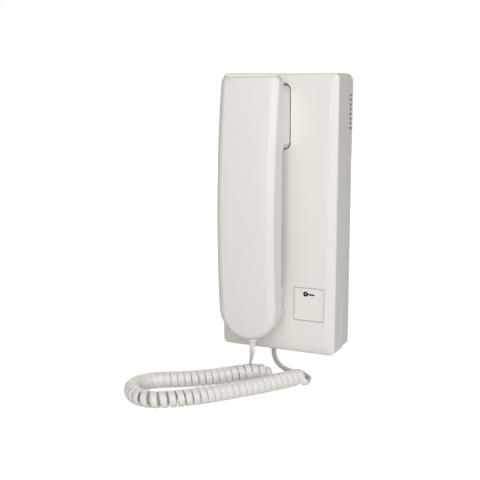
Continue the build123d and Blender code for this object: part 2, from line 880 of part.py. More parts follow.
def polygon_tube(start, heading, edges, diameter, sides):
    """One unbroken tube of a regular polygon's section along joined edges."""
    section = Plane(origin=tuple(start), z_dir=tuple(heading)) * RegularPolygon(diameter / 2, sides)
    path = Wire(edges)
    body = sweep(section, path=path, clean=False)
    print("tube length", round(path.length, 1), "volume share", round(body.volume / section.area / path.length, 4))
    return body


def curly_cord():
    """The coiled length with its loose ends, each ending straight for one wire diameter."""
    quarter = 1 / stations_per_turn
    turns = np.arange(0, coil_turns + quarter / 2, quarter)
    small = quarter / samples_per_turn
    places = coil_line(turns)
    ahead, behind = coil_line(turns + small), coil_line(turns - small)
    ahead[-1], behind[0] = places[-1], places[0]
    stations = [(p, unit(d)) for p, d in zip(places, ahead - behind)]
    lead_in = unit(np.subtract(base_lead_points[-1], base_lead_points[-2]))
    lead_out = unit(np.subtract(handset_lead_points[-2], handset_lead_points[-1]))
    first = cord_place + base_lead_points[-1]
    last = cord_place + handset_lead_points[-1]
    opening = [(first + wire_diameter * lead_in, lead_in)]
    opening += [(cord_place + p, unit(d)) for p, d in loose_start]
    closing = [(cord_place + p, unit(d)) for p, d in loose_end]
    closing += [(last - wire_diameter * lead_out, lead_out)]
    stations = opening + stations + closing
    edges = [Edge.make_line(tuple(first), tuple(stations[0][0]))]
    for (a, u), (b, v) in zip(stations, stations[1:]):
        edges += biarc(a, u, b, v)
    edges.append(Edge.make_line(tuple(stations[-1][0]), tuple(last)))
    print_least_gap()
    return polygon_tube(first, lead_in, edges, wire_diameter, wire_sides)


def print_least_gap():
    """Prints the coil's least gap to itself, between points on turns that lie beside each other."""
    turns = np.arange(0, coil_turns, 1 / samples_per_turn)
    line = coil_line(turns)
    least = np.inf
    for i in range(0, len(line), samples_per_turn):
        block = line[i:i + samples_per_turn]
        later = line[i + samples_per_turn // 2:]
        apart = np.linalg.norm(block[:, None] - later[None], axis=2)
        rows = np.arange(len(block))[:, None]
        ahead = np.arange(len(later))[None] + samples_per_turn // 2 - rows
        apart[ahead < samples_per_turn // 2] = np.inf
        least = min(least, apart.min())
    print("coil turns", coil_turns, "least gap", round(least - wire_diameter, 2))


def lead(start, points):
    """Flat lead along straight runs joined by the largest tangent arcs that the runs allow."""
    route = [Vector(*p) for p in [start] + points]
    radii = []
    for a, b, c in zip(route, route[1:], route[2:]):
        turn = radians((b - a).get_angle(c - b))
        radii.append(arc_share * min((b - a).length, (c - b).length) / tan(turn / 2))
    path = FilletPolyline(*route, radius=radii)
    section = Plane(origin=route[0], x_dir=(1, 0, 0), z_dir=route[1] - route[0]) * Rectangle(
        lead_width, lead_thickness
    )
    body = sweep(section, path=path)
    share = body.volume / section.area / path.length
    print("lead length", round(path.length, 1), "radii", [round(r, 1) for r in radii], "volume share", round(share, 4))
    return body


def spring():
    """Compression spring between the cup and the plunger's flange."""
    low = hook_flange_back - spring_length + spring_wire / 2 + pilot_clearance
    high = hook_flange_back - spring_wire / 2 - pilot_clearance
    half_turn = 1 / 2
    turns = np.arange(0, spring_turns + half_turn / 2, half_turn)
    rise = (high - low) / spring_turns

    def place(turn):
        angle = 2 * np.pi * turn
        x = hook_x + spring_radius * np.cos(angle)
        z = hook_z + spring_radius * np.sin(angle)
        return np.column_stack([x, -(low + rise * turn), z])

    small = half_turn / samples_per_turn
    places, ahead, behind = place(turns), place(turns + small), place(turns - small)
    stations = [(p, unit(d)) for p, d in zip(places, ahead - behind)]
    edges = []
    for (a, u), (b, v) in zip(stations, stations[1:]):
        edges += biarc(a, u, b, v)
    return polygon_tube(places[0], stations[0][1], edges, spring_wire, spring_sides)


def build_parts():
    """Every piece by its node's name."""
    ear_front = ear_block_end + block_wall + ear_felt
    ear_frame, ear_cone, ear_magnet = speaker(ear_x, ear_z, ear_front, -1, ear_speaker_radius, ear_speaker_depth)
    call_front = rear_floor + call_depth
    call_frame, call_cone, call_magnet = speaker(call_x, call_z, call_front, 1, call_radius, call_depth)
    flange = np.array([0, 0, grommet_flange_thickness])
    base_exit = cord_place - flange
    base_route = [cord_place + p for p in base_lead_points]
    handset_exit = np.array([handset_cord_x, -handset_cord_depth, handset_low]) - flange
    handset_route = [handset_exit - [0, 0, lead_drop]] + [cord_place + p for p in handset_lead_points]
    return {
        "rear_cover": rear_cover(),
        "front_housing": front_housing(),
        "cover_screw": cover_screw(),
        "main_board": main_board(),
        "board_screws": board_screws(),
        "terminal_block": terminal_block(),
        "terminal_screws": terminal_screws(),
        "amplifier_chip": amplifier_chip(),
        "capacitors": capacitors(),
        "volume_trimmer": volume_trimmer(),
        "call_speaker_frame": call_frame,
        "call_speaker_cone": call_cone,
        "call_speaker_magnet": call_magnet,
        "hook_spring_cup": hook_spring_cup(),
        "hook_spring": spring(),
        "hook_switch": hook_switch(),
        "hook_plunger": hook_plunger(),
        "door_switch": door_switch(),
        "door_switch_stem": door_switch_stem(),
        "door_button": door_button(),
        "base_grommet": grommet(base_cord_x, base_cord_depth, floor_z, base_wall),
        "base_lead": lead(base_exit, base_route),
        "curly_cord": curly_cord(),
        "handset_lead": lead(handset_exit, handset_route),
        "handset_grommet": grommet(
            handset_cord_x, handset_cord_depth, handset_low, handset_wall, handset_low_corner,
            handset_cord_offset,
        ),
        "handset_shell": handset_shell(),
        "handset_back": handset_back(),
        "handset_screws": handset_screws(),
        "handset_weight": handset_weight(),
        "earpiece_felt": earpiece_felt(),
        "earpiece_frame": ear_frame,
        "earpiece_cone": ear_cone,
        "earpiece_magnet": ear_magnet,
        "microphone_boot": microphone_boot(),
        "microphone": microphone(),
    }


if __name__ == "__main__":
    os.makedirs("parts", exist_ok=True)
    for name, part in build_parts().items():
        export_step(part, f"parts/{name}.step")
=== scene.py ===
"""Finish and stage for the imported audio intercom: shells, button, cord, materials, light and camera.

Laid out as a Blender add-on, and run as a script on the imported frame. Metres, in the frame's own axes:
X to the viewer's right, Z up, and the room on the -Y side of the wall.
"""
from math import radians

import bmesh
import bpy
import numpy as np
from bpy.props import FloatProperty, FloatVectorProperty, PointerProperty
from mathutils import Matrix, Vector


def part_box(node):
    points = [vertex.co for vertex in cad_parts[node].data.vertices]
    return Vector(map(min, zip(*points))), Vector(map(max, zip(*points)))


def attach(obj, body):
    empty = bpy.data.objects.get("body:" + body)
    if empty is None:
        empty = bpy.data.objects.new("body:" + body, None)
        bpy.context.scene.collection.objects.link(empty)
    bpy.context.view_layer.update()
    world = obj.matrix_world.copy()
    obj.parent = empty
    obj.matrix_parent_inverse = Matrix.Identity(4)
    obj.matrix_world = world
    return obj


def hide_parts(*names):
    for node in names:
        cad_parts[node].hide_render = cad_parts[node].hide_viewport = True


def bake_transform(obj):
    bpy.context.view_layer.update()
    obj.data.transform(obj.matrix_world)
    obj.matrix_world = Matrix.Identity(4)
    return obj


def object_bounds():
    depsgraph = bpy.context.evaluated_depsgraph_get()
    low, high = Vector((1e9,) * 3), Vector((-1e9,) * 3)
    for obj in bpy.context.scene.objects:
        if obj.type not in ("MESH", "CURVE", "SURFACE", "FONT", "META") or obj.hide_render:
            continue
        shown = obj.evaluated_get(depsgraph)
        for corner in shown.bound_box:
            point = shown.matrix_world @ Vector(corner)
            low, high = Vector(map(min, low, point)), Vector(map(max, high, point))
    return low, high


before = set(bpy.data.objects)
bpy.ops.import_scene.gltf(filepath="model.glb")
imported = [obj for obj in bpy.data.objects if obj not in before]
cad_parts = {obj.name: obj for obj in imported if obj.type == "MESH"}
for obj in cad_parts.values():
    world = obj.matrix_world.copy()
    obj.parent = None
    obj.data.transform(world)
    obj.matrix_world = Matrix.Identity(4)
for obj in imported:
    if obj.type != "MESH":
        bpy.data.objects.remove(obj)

bl_info = {
    "name": "Audio Intercom Finish",
    "version": (1, 0, 0),
    "blender": (4, 5, 0),
    "location": "View3D > Sidebar > Intercom",
    "description": "Builds the visible shells, button, cord, materials and stage of an audio intercom",
    "category": "Object",
}

MM = 0.001
CAD_BOX = [list(corner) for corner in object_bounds()]
HOUSING_LOW, HOUSING_HIGH = (np.array(corner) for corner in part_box("front_housing"))
REAR_HIGH = np.array(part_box("rear_cover")[1])
SHELL_LOW, SHELL_HIGH = (np.array(corner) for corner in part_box("handset_shell"))
BUTTON_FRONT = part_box("door_button")[0][1]
BASE_BUSH_LOW, BASE_BUSH_HIGH = (np.array(corner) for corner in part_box("base_grommet"))
HAND_BUSH_LOW, HAND_BUSH_HIGH = (np.array(corner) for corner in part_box("handset_grommet"))

SHELL_MIDDLE = (SHELL_LOW[0] + SHELL_HIGH[0]) / 2
SHELL_HALF = (SHELL_HIGH[0] - SHELL_LOW[0]) / 2

# Where the cord leaves each hole: the middle of each bush's lower face
BASE_EXIT = np.array([*(BASE_BUSH_LOW + BASE_BUSH_HIGH)[:2] / 2, BASE_BUSH_LOW[2]])
HAND_EXIT = np.array([*(HAND_BUSH_LOW + HAND_BUSH_HIGH)[:2] / 2, HAND_BUSH_LOW[2]])
# The cord's places are counted from the middle of its hole in the base's underside
CORD_PLACE = np.array([BASE_EXIT[0], BASE_EXIT[1], HOUSING_LOW[2]])

# The coil's axis with its lift off the level line, then the free stretches at its two ends, as in the
# part's source, with small moves that follow the photograph
COIL_AXIS = MM * np.array([
    (22.5, -6.5, 0.8), (14.7, -20.0, 0.8), (-2.8, -44.0, 0.3), (-24.8, -71.5, 0.0), (-43.8, -88.7, 0.0),
    (-57.3, -93.4, 0.0), (-71.0, -86.2, 0.0), (-79.0, -70.8, 0.0), (-72.8, -56.0, 0.0), (-56.8, -46.8, 0.0),
    (-38.8, -35.5, 0.3), (-18.8, -15.0, 1.1), (-8.5, -7.2, 1.2), (-1.8, -2.3, -1.9),
])
PITCH_PLACES = (0.0, 0.26, 0.34, 0.40, 0.46, 0.50, 0.58, 0.86, 0.90, 0.96, 1.0)
PITCH_SIZES = (0.98, 0.97, 1.04, 1.17, 1.17, 1.08, 1.00, 0.97, 1.10, 1.10, 1.00)
BASE_LEAD = MM * np.array([(0.2, 0.1, -6.4), (1.5, 0.9, -11.2), (4.3, 2.3, -15.6), (8.8, 4.0, -18.8)])
LOOSE_START = MM * np.array([
    (14.0, 4.8, -20.0), (19.2, 4.6, -18.8), (23.0, 3.6, -20.0), (26.4, 2.0, -21.2), (29.0, -0.4, -21.8),
    (29.8, -3.4, -22.9), (28.6, -6.4, -23.4), (27.2, -8.8, -21.8),
])
LOOSE_END = MM * np.array([(-9.0, 5.2, -23.6), (-15.8, 3.2, -21.6)])
HAND_LEAD = MM * np.array([
    (-6.4, -25.4, -0.2), (-9.9, -18.6, -5.8), (-14.4, -10.4, -11.0), (-18.1, -2.2, -17.4),
])
HAND_DROP = 4.8 * MM

# Which way the band's broad side looks at the points of the stretches above: to the room on the leads, and
# with its inner side to the room on the loose loop
BASE_LEAD_FACE = (0.2, 0.95, 0.05)
LOOSE_START_FACES = (
    (0.2, 0.9, 0.1), (0.3, 0.85, 0.3), (0.46, 0.7, 0.38), (0.5, 0.7, 0.3), (0.75, 0.5, -0.3),
    (0.8, 0.1, -0.6), (0.6, -0.3, -0.8), (0.8, -0.5, -0.4),
)
LOOSE_END_FACES = ((0.1, 0.9, -0.4), (-0.9, 0.3, 0.2), (-0.92, -0.3, 0.2))
HAND_LEAD_FACES = (
    (-0.92, -0.3, 0.2), (-0.85, -0.45, 0.2), (-0.65, -0.7, 0.2), (-0.3, -0.9, 0.1), (0.1, -0.98, 0.0),
    (0.3, -0.95, 0.0),
)
# The last points of the loose loop are as wide as the coil, and the very last fade from the painted shade of
# the lead and loop to the jacket's white
WIDE_POINTS = 6
SHADE_FADE = (0.4, 0.1, 0.0)
# Where the turns are drawn apart, the band is stretched and narrower by this power of the pitch
STRETCH_POWER = -0.1
TURN_POINTS = 16
# Line points for each control point: of the coil's axis, of the cord, and of the lead to the handset
AXIS_STEPS, CORD_STEPS, HAND_LEAD_STEPS = 40, 2, 12
# Level direction from the coil towards the middle of the room
ROOM_SIDE = np.array([0.37, -0.93])

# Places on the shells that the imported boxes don't give
PARTING = -47.4 * MM
BOW_RADIUS = 584.0 * MM
BOW_CENTRE = -1.05 * MM
TOP_CORNER = 5.4 * MM
LOW_CORNER = 21.5 * MM
# The base unit's bevel: its depth, the border of the front that it takes, and its inner line's rounding
BEVEL_DEPTH = 1.7 * MM
BEVEL_REACH = 6.6 * MM
BEVEL_ROUND = 0.7 * MM
# Box of the grip's inner side that is darkened as painted shade
GRIP_LOW, GRIP_HIGH = MM * np.array([(-60.0, -60.0, -49.0), (60.0, -30.0, 46.5)])
GRIP_FADE = 1.5 * MM
# Box of the vent slots' walls, darkened as painted shade
VENT_LOW, VENT_HIGH = np.array([
    (REAR_HIGH[0] - 3 * MM, -7.5 * MM, 40 * MM), (REAR_HIGH[0] - 0.12 * MM, -1.0 * MM, 92 * MM),
])
# The edges of the vent slots: how far in from the right side they go, and where they end towards the wall
VENT_EDGE_REACH, VENT_EDGE_BACK = 4 * MM, -1.5 * MM
KEY_HEAD = MM * np.array([22.2, -55.8])
KEY_TIP = MM * np.array([29.0, -56.1])

# Each moulded part's tone, as a share of the shell colour, and its roughness. The housing's rounded edge faces
# are a little lighter as a painted highlight
SHELL_FINISHES = {
    "handset_white": (1.0, 0.34), "handset_back_white": (0.975, 0.40), "handset_back_edge": (1.0, 0.32),
    "housing_white": (1.0, 0.34), "housing_edge": (1.01, 0.28), "cover_white": (0.975, 0.42),
    "cover_edge": (1.0, 0.34), "plunger_white": (1.0, 0.36), "button_white": (1.0, 0.33),
    "button_edge": (1.0, 0.28),
}
SHELL_SPECULAR = 0.34
# The plastics' mottling and uneven gloss, then the shells' wiped streaks, lighter edges (cleaned by rubbing,
# and a painted highlight) and polished edges, and the metals' streaks: each as a share of the tone or
# roughness that it changes
MOTTLE, UNEVEN = 0.015, 0.08
WIPED, CLEANED_AND_HIGHLIT, POLISHED = 0.07, 0.02, 0.2
DRAWN_STREAK = 0.2
# Depth of the fine grain of all plastics, before each one's own strength
GRAIN_DEPTH = 0.2 * MM
# Degrees between two faces from which an edge counts as sharp, and as a line between the face and the bevel
SHARP_TURN, RIM_TURN = 25, 3
# Roundings of the vent slots' edges and of the housing's other edges, as shares of the full one
VENT_ROUND_SHARE, PLAIN_ROUND_SHARE = 0.3, 0.35
# A mix node's sockets for its two colours, and for what it gives
COLOUR_A, COLOUR_B, COLOUR_OUT = 6, 7, 2

CAMERA_PLACE = (0.25406, -0.64343, 0.100)
CAMERA_TURN = (radians(90 - 10.138), 0, radians(24.93))
CAMERA_LENS, CAMERA_SENSOR = 70.0, 36.0
# Name, place, size and power of each soft lamp, and the point that they look at
LAMP_AIM = (-0.02, -0.03, -0.01)
LAMPS = (
    ("top_light", (-0.1, -0.9, 1.4), (1.2, 1.2), 2.0),
    ("right_light", (1.35, -1.05, 0.65), (1.0, 1.4), 12.1),
    ("front_light", (0.45, -1.65, 0.80), (1.15, 1.7), 17.6),
    ("left_light", (-1.1, -1.3, 0.4), (1.0, 1.0), 1.2),
    ("rear_light", (-1.0, 1.3, 0.8), (1.2, 1.2), 11.0),
)
# The floor reaches this far, and turns to pure white between these distances from the middle
FLOOR_REACH = 3.0
FLOOR_NEAR, FLOOR_FAR = 0.25, 0.8
FLOOR_ROUGHNESS, FLOOR_SPECULAR = 0.9, 0.2


class ShellSettings(bpy.types.PropertyGroup):
    shell_colour: FloatVectorProperty(
        name="Shell colour", description="Colour of the moulded white plastic",
        default=(0.86, 0.83, 0.785), subtype="COLOR", min=0, max=1,
    )
    crown: FloatProperty(
        name="Crown", description="How far the handset's front falls away at its sides", default=0.0008,
        unit="LENGTH",
    )
    shoulder_side: FloatProperty(
        name="Side shoulder", description="Width of the rounded shoulder along the handset's sides",
        default=0.0060, unit="LENGTH",
    )
    shoulder_end: FloatProperty(
        name="End shoulder", description="Width of the rounded shoulder at the handset's two ends",
        default=0.0034, unit="LENGTH",
    )
    shoulder_drop: FloatProperty(
        name="Shoulder drop", description="How far the shoulder falls back at the handset's sides",
        default=0.0026, unit="LENGTH",
    )
    bevel_swell: FloatProperty(
        name="Bevel swell", description="How far the base unit's bevel stands out of a flat slope",
        default=0.00022, unit="LENGTH",
    )
    # The grip's darker tone is painted shade in the gap behind the handset
    grip_shade_tone: FloatProperty(
        name="Grip tone", description="Tone of the grip's inner side, as a share of the shell's",
        default=0.70, subtype="FACTOR",
    )
    # The vent slots' dark tone is painted shade inside them
    vent_shade_tone: FloatProperty(
        name="Vent tone", description="Tone inside the vent slots, as a share of the shell's", default=0.22,
        subtype="FACTOR",
    )
    edge_round: FloatProperty(
        name="Edge round", description="Radius of the small edges of the shells", default=0.00025,
        unit="LENGTH",
    )


class KeySettings(bpy.types.PropertyGroup):
    key_colour: FloatVectorProperty(
        name="Key colour", description="Colour of the printed key on the door button",
        default=(0.006, 0.005, 0.005), subtype="COLOR", min=0, max=1,
    )
    ring_radius: FloatProperty(
        name="Ring radius", description="Outer radius of the key's ring", default=0.00185, unit="LENGTH",
    )
    ring_hole: FloatProperty(
        name="Ring hole", description="Radius of the hole in the key's ring", default=0.00045, unit="LENGTH",
    )
    shaft_width: FloatProperty(
        name="Shaft width", description="Width of the key's shaft", default=0.00108, unit="LENGTH",
    )


class CordSettings(bpy.types.PropertyGroup):
    jacket_colour: FloatVectorProperty(
        name="Jacket colour", description="Colour of the cord's soft jacket",
        default=(0.87, 0.845, 0.805), subtype="COLOR", min=0, max=1,
    )
    # The lead's darker tone is painted shade, for the shade under the base unit
    lead_shade_tone: FloatProperty(
        name="Lead tone", description="Tone of the straight lead from the base, as a share of the jacket's",
        default=0.64, subtype="FACTOR",
    )
    band_width: FloatProperty(
        name="Band width", description="Width of the flat cord where its turns lie closest",
        default=0.0049, unit="LENGTH",
    )
    band_thickness: FloatProperty(
        name="Band thickness", description="Thickness of the flat cord", default=0.0022, unit="LENGTH",
    )
    lead_width: FloatProperty(
        name="Lead width", description="Width of the straight leads", default=0.0038, unit="LENGTH",
    )
    lead_thickness: FloatProperty(
        name="Lead thickness", description="Thickness of the straight leads", default=0.0018, unit="LENGTH",
    )
    coil_radius: FloatProperty(
        name="Coil radius", description="From the coil's axis to the middle of the cord",
        default=0.0049, unit="LENGTH",
    )
    coil_drop: FloatProperty(
        name="Coil drop", description="Coil axis below the base unit's underside",
        default=0.020, unit="LENGTH",
    )
    turns: FloatProperty(name="Turns", description="Number of turns in the coil", default=49.75)
    lean: FloatProperty(
        name="Lean",
        description="Share of each turn's advance that moves from its room side to its wall side",
        default=0.5, subtype="FACTOR",
    )


class StageSettings(bpy.types.PropertyGroup):
    floor_tone: FloatProperty(name="Floor tone", description="Grey level of the floor", default=0.8)
    floor_glow: FloatProperty(
        name="Floor glow", description="How much white the camera sees added to the floor", default=0.72,
    )
    gloss_share: FloatProperty(
        name="Gloss share", description="How bright the white surround is where a gloss shows it",
        default=0.4, subtype="FACTOR",
    )
    ambient: FloatProperty(
        name="Ambient", description="Strength of the even light from all sides", default=0.03,
    )


# Meshes

def new_object(name, mesh):
    piece = bpy.data.objects.new(name, mesh)
    bpy.context.scene.collection.objects.link(piece)
    return piece


def mesh_from_arrays(name, points, faces):
    """A piece from vertex places and equal-sized faces, both as arrays."""
    mesh = bpy.data.meshes.new(name)
    count, corners = faces.shape
    mesh.vertices.add(len(points))
    mesh.vertices.foreach_set("co", np.ascontiguousarray(points, np.float32).ravel())
    mesh.loops.add(count * corners)
    mesh.loops.foreach_set("vertex_index", np.ascontiguousarray(faces, np.int32).ravel())
    mesh.polygons.add(count)
    mesh.polygons.foreach_set("loop_start", np.arange(0, count * corners, corners, dtype=np.int32))
    mesh.update(calc_edges=True)
    mesh.validate()
    return new_object(name, mesh)


def read(items, field, width=1, kind=float):
    """One field of all the points, edges, loops or faces of a mesh, with a row for each."""
    values = np.empty(len(items) * width, kind)
    items.foreach_get(field, values)
    return values.reshape(-1, width) if width > 1 else values


def give_values(piece, name, domain, values):
    """Gives a piece an attribute with one number for each of its points or edges."""
    values = np.ascontiguousarray(values, np.float32)
    piece.data.attributes.new(name, "FLOAT", domain).data.foreach_set("value", values)


def tube_faces(rows, columns):
    """Faces between consecutive closed rings: corner (i, j) joins (i, j+1), (i+1, j+1) and (i+1, j)."""
    i, j = np.meshgrid(np.arange(rows - 1), np.arange(columns), indexing="ij")
    k = (j + 1) % columns
    corners = [i * columns + j, i * columns + k, (i + 1) * columns + k, (i + 1) * columns + j]
    return np.stack(corners, -1).reshape(-1, 4)


def close_ends(piece, rows, columns):
    """Closes the first and last ring of a tube with one flat face each."""
    model = bmesh.new()
    model.from_mesh(piece.data)
    model.verts.ensure_lookup_table()
    model.faces.new([model.verts[j] for j in range(columns)][::-1])
    model.faces.new([model.verts[(rows - 1) * columns + j] for j in range(columns)])
    bmesh.ops.recalc_face_normals(model, faces=model.faces)
    model.to_mesh(piece.data)
    model.free()
    return piece


def smooth(piece, angle):
    """Smooth shading, with creases where faces meet at more than an angle in degrees."""
    piece.data.shade_smooth()
    piece.data.set_sharp_from_angle(angle=radians(angle))
    return piece


def smooth_line(name, points, steps):
    """Points along the smooth NURBS line (order 3, held at both ends) that has these control points."""
    curve = bpy.data.curves.new(name, "CURVE")
    curve.dimensions = "3D"
    spline = curve.splines.new("NURBS")
    spline.points.add(len(points) - 1)
    spline.points.foreach_set("co", np.column_stack([points, np.ones(len(points))]).ravel())
    spline.order_u = 3
    spline.use_endpoint_u = True
    spline.resolution_u = steps
    holder = bpy.data.objects.new(name, curve)
    mesh = bpy.data.meshes.new_from_object(holder)
    line = read(mesh.vertices, "co", 3)
    bpy.data.meshes.remove(mesh)
    bpy.data.objects.remove(holder)
    bpy.data.curves.remove(curve)
    return line


def unit(vectors):
    return vectors / np.linalg.norm(vectors, axis=-1, keepdims=True)


def run_of(line):
    """Distance along a line at each of its points."""
    return np.r_[0, np.cumsum(np.linalg.norm(np.diff(line, axis=0), axis=1))]


def band_tube(name, line, facing, width, thickness, columns=14, power=3.2):
    """A flat cord: at each point of a line the section |a/w|^p + |b/t|^p = 1, where a runs across the band
    and b along its facing, made square to the line. Width and thickness may change along the line."""
    ahead = unit(np.gradient(line, axis=0))
    facing = unit(facing - (facing * ahead).sum(1)[:, None] * ahead)
    across = np.cross(ahead, facing)
    angle = np.linspace(0, 2 * np.pi, columns, endpoint=False)
    c, s = np.cos(angle), np.sin(angle)
    a = np.sign(c) * np.abs(c) ** (2 / power)
    b = np.sign(s) * np.abs(s) ** (2 / power)
    half_width = np.broadcast_to(width, len(line))[:, None, None] / 2
    half_thick = np.broadcast_to(thickness, len(line))[:, None, None] / 2
    rings = line[:, None] + half_width * a[None, :, None] * across[:, None]
    rings = rings + half_thick * b[None, :, None] * facing[:, None]
    piece = mesh_from_arrays(name, rings.reshape(-1, 3), tube_faces(len(line), columns))
    return smooth(close_ends(piece, len(line), columns), 60)


# Materials

def node(tree, kind, inputs=(), **settings):
    """Adds a node, sets its fields, and fills or links its inputs by name."""
    made = tree.nodes.new(kind)
    for field, value in settings.items():
        setattr(made, field, value)
    for socket, value in dict(inputs).items():
        if isinstance(value, bpy.types.NodeSocket):
            tree.links.new(value, made.inputs[socket])
        else:
            made.inputs[socket].default_value = value
    return made


def plastic(name, colour, roughness, grain=900.0, bump=0.02, specular=0.5):
    """Moulded plastic: a faint mottling of its colour, uneven gloss, and a fine spark-eroded grain."""
    material = bpy.data.materials.new(name)
    material.use_nodes = True
    tree = material.node_tree
    shader = tree.nodes["Principled BSDF"]
    place = node(tree, "ShaderNodeTexCoord").outputs["Object"]
    cloud = node(tree, "ShaderNodeTexNoise", {"Vector": place, "Scale": 22.0, "Detail": 3.0})
    tint = node(tree, "ShaderNodeValToRGB", {"Fac": cloud.outputs["Fac"]})
    tint.color_ramp.elements[0].position = 0.3
    tint.color_ramp.elements[1].position = 0.7
    tint.color_ramp.elements[0].color = (*((1 - MOTTLE) * np.array(colour)), 1)
    tint.color_ramp.elements[1].color = (*colour, 1)
    gloss = node(tree, "ShaderNodeMapRange", {
        "Value": cloud.outputs["Fac"], "To Min": roughness * (1 - UNEVEN),
        "To Max": roughness * (1 + UNEVEN),
    })
    fine = node(tree, "ShaderNodeTexNoise", {"Vector": place, "Scale": grain, "Detail": 2.0})
    bumped = node(tree, "ShaderNodeBump", {
        "Height": fine.outputs["Fac"], "Strength": bump, "Distance": GRAIN_DEPTH,
    })
    tree.links.new(tint.outputs["Color"], shader.inputs["Base Color"])
    tree.links.new(gloss.outputs["Result"], shader.inputs["Roughness"])
    tree.links.new(bumped.outputs["Normal"], shader.inputs["Normal"])
    shader.inputs["Specular IOR Level"].default_value = specular
    return material


def base_tint(tree):
    """The socket that a plastic takes its base colour from."""
    return tree.nodes["Principled BSDF"].inputs["Base Color"].links[0].from_socket


def mix_into_base(tree, factor, other):
    """Mixes another colour, or a socket that gives one, into a plastic's base colour."""
    mixed = node(tree, "ShaderNodeMix", {
        "Factor": factor, COLOUR_A: base_tint(tree), COLOUR_B: other,
    }, data_type="RGBA")
    tree.links.new(mixed.outputs[COLOUR_OUT], tree.nodes["Principled BSDF"].inputs["Base Color"])


def shell_plastic(name):
    """Moulded white plastic as handled: a faint mottling, a fine grain, soft streaks in the gloss from wiping,
    and edges that rubbing has polished and made lighter, the lighter tone also a painted highlight, where the
    piece's "edge" attribute says so."""
    tone, roughness = SHELL_FINISHES[name]
    colour = tone * np.array(bpy.context.scene.intercom_shells.shell_colour)
    material = plastic(name, colour, roughness, grain=650.0, bump=0.02, specular=SHELL_SPECULAR)
    tree = material.node_tree
    shader = tree.nodes["Principled BSDF"]
    rubbed_and_lit = node(tree, "ShaderNodeAttribute", attribute_name="edge").outputs["Fac"]
    # Painted highlight and rubbing: the marked edges are made a little lighter
    mix_into_base(tree, rubbed_and_lit, (*np.minimum((1 + CLEANED_AND_HIGHLIT) * colour, 1), 1))
    place = node(tree, "ShaderNodeTexCoord").outputs["Object"]
    drawn = node(tree, "ShaderNodeMapping", {"Vector": place, "Scale": (60.0, 60.0, 9.0)})
    wiped = node(tree, "ShaderNodeTexNoise", {
        "Vector": drawn.outputs["Vector"], "Scale": 1.0, "Detail": 4.0,
    })
    streak = node(tree, "ShaderNodeMapRange", {
        "Value": wiped.outputs["Fac"], "To Min": 1 - WIPED, "To Max": 1 + WIPED,
    })
    gloss = shader.inputs["Roughness"].links[0].from_socket
    gloss = node(tree, "ShaderNodeMath", {0: gloss, 1: streak.outputs["Result"]}, operation="MULTIPLY")
    polish = node(tree, "ShaderNodeMapRange", {"Value": rubbed_and_lit, "To Min": 1.0, "To Max": 1 - POLISHED})
    gloss = node(tree, "ShaderNodeMath", {
        0: gloss.outputs[0], 1: polish.outputs["Result"],
    }, operation="MULTIPLY")
    tree.links.new(gloss.outputs[0], shader.inputs["Roughness"])
    return material


def darkened(material, low, high, share, soft=0.02 * MM):
    """Multiplies a plastic's colour by a share inside a box of the piece's own coordinates, which fades out
    over a soft width at its walls."""
    tree = material.node_tree
    place = node(tree, "ShaderNodeTexCoord").outputs["Object"]
    axes = node(tree, "ShaderNodeSeparateXYZ", {"Vector": place}).outputs
    inside = 1.0
    for axis, least, most in zip(axes, low, high):
        for wall, way in ((least, 1), (most, -1)):
            ramp = node(tree, "ShaderNodeMapRange", {
                "Value": axis, "From Min": wall - way * soft, "From Max": wall + way * soft,
            }, interpolation_type="SMOOTHSTEP").outputs["Result"]
            inside = node(tree, "ShaderNodeMath", {0: inside, 1: ramp}, operation="MULTIPLY").outputs[0]
    dark = node(tree, "ShaderNodeVectorMath", {0: base_tint(tree), "Scale": share}, operation="SCALE")
    mix_into_base(tree, inside, dark.outputs["Vector"])
    return material


def metal(name, colour, roughness):
    """Plated steel or aluminium, with streaks drawn out along Z in its gloss."""
    material = bpy.data.materials.new(name)
    material.use_nodes = True
    tree = material.node_tree
    shader = tree.nodes["Principled BSDF"]
    place = node(tree, "ShaderNodeTexCoord").outputs["Object"]
    drawn = node(tree, "ShaderNodeMapping", {"Vector": place, "Scale": (900.0, 900.0, 40.0)})
    streak = node(tree, "ShaderNodeTexNoise", {
        "Vector": drawn.outputs["Vector"], "Scale": 1.0, "Detail": 3.0,
    })
    gloss = node(tree, "ShaderNodeMapRange", {
        "Value": streak.outputs["Fac"], "To Min": roughness * (1 - DRAWN_STREAK),
        "To Max": roughness * (1 + DRAWN_STREAK),
    })
    tree.links.new(gloss.outputs["Result"], shader.inputs["Roughness"])
    shader.inputs["Base Color"].default_value = (*colour, 1)
    shader.inputs["Metallic"].default_value = 1.0
    return material


def give(name, material):
    """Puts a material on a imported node."""
    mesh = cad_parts[name].data
    mesh.materials.clear()
    mesh.materials.append(material)


# Pieces

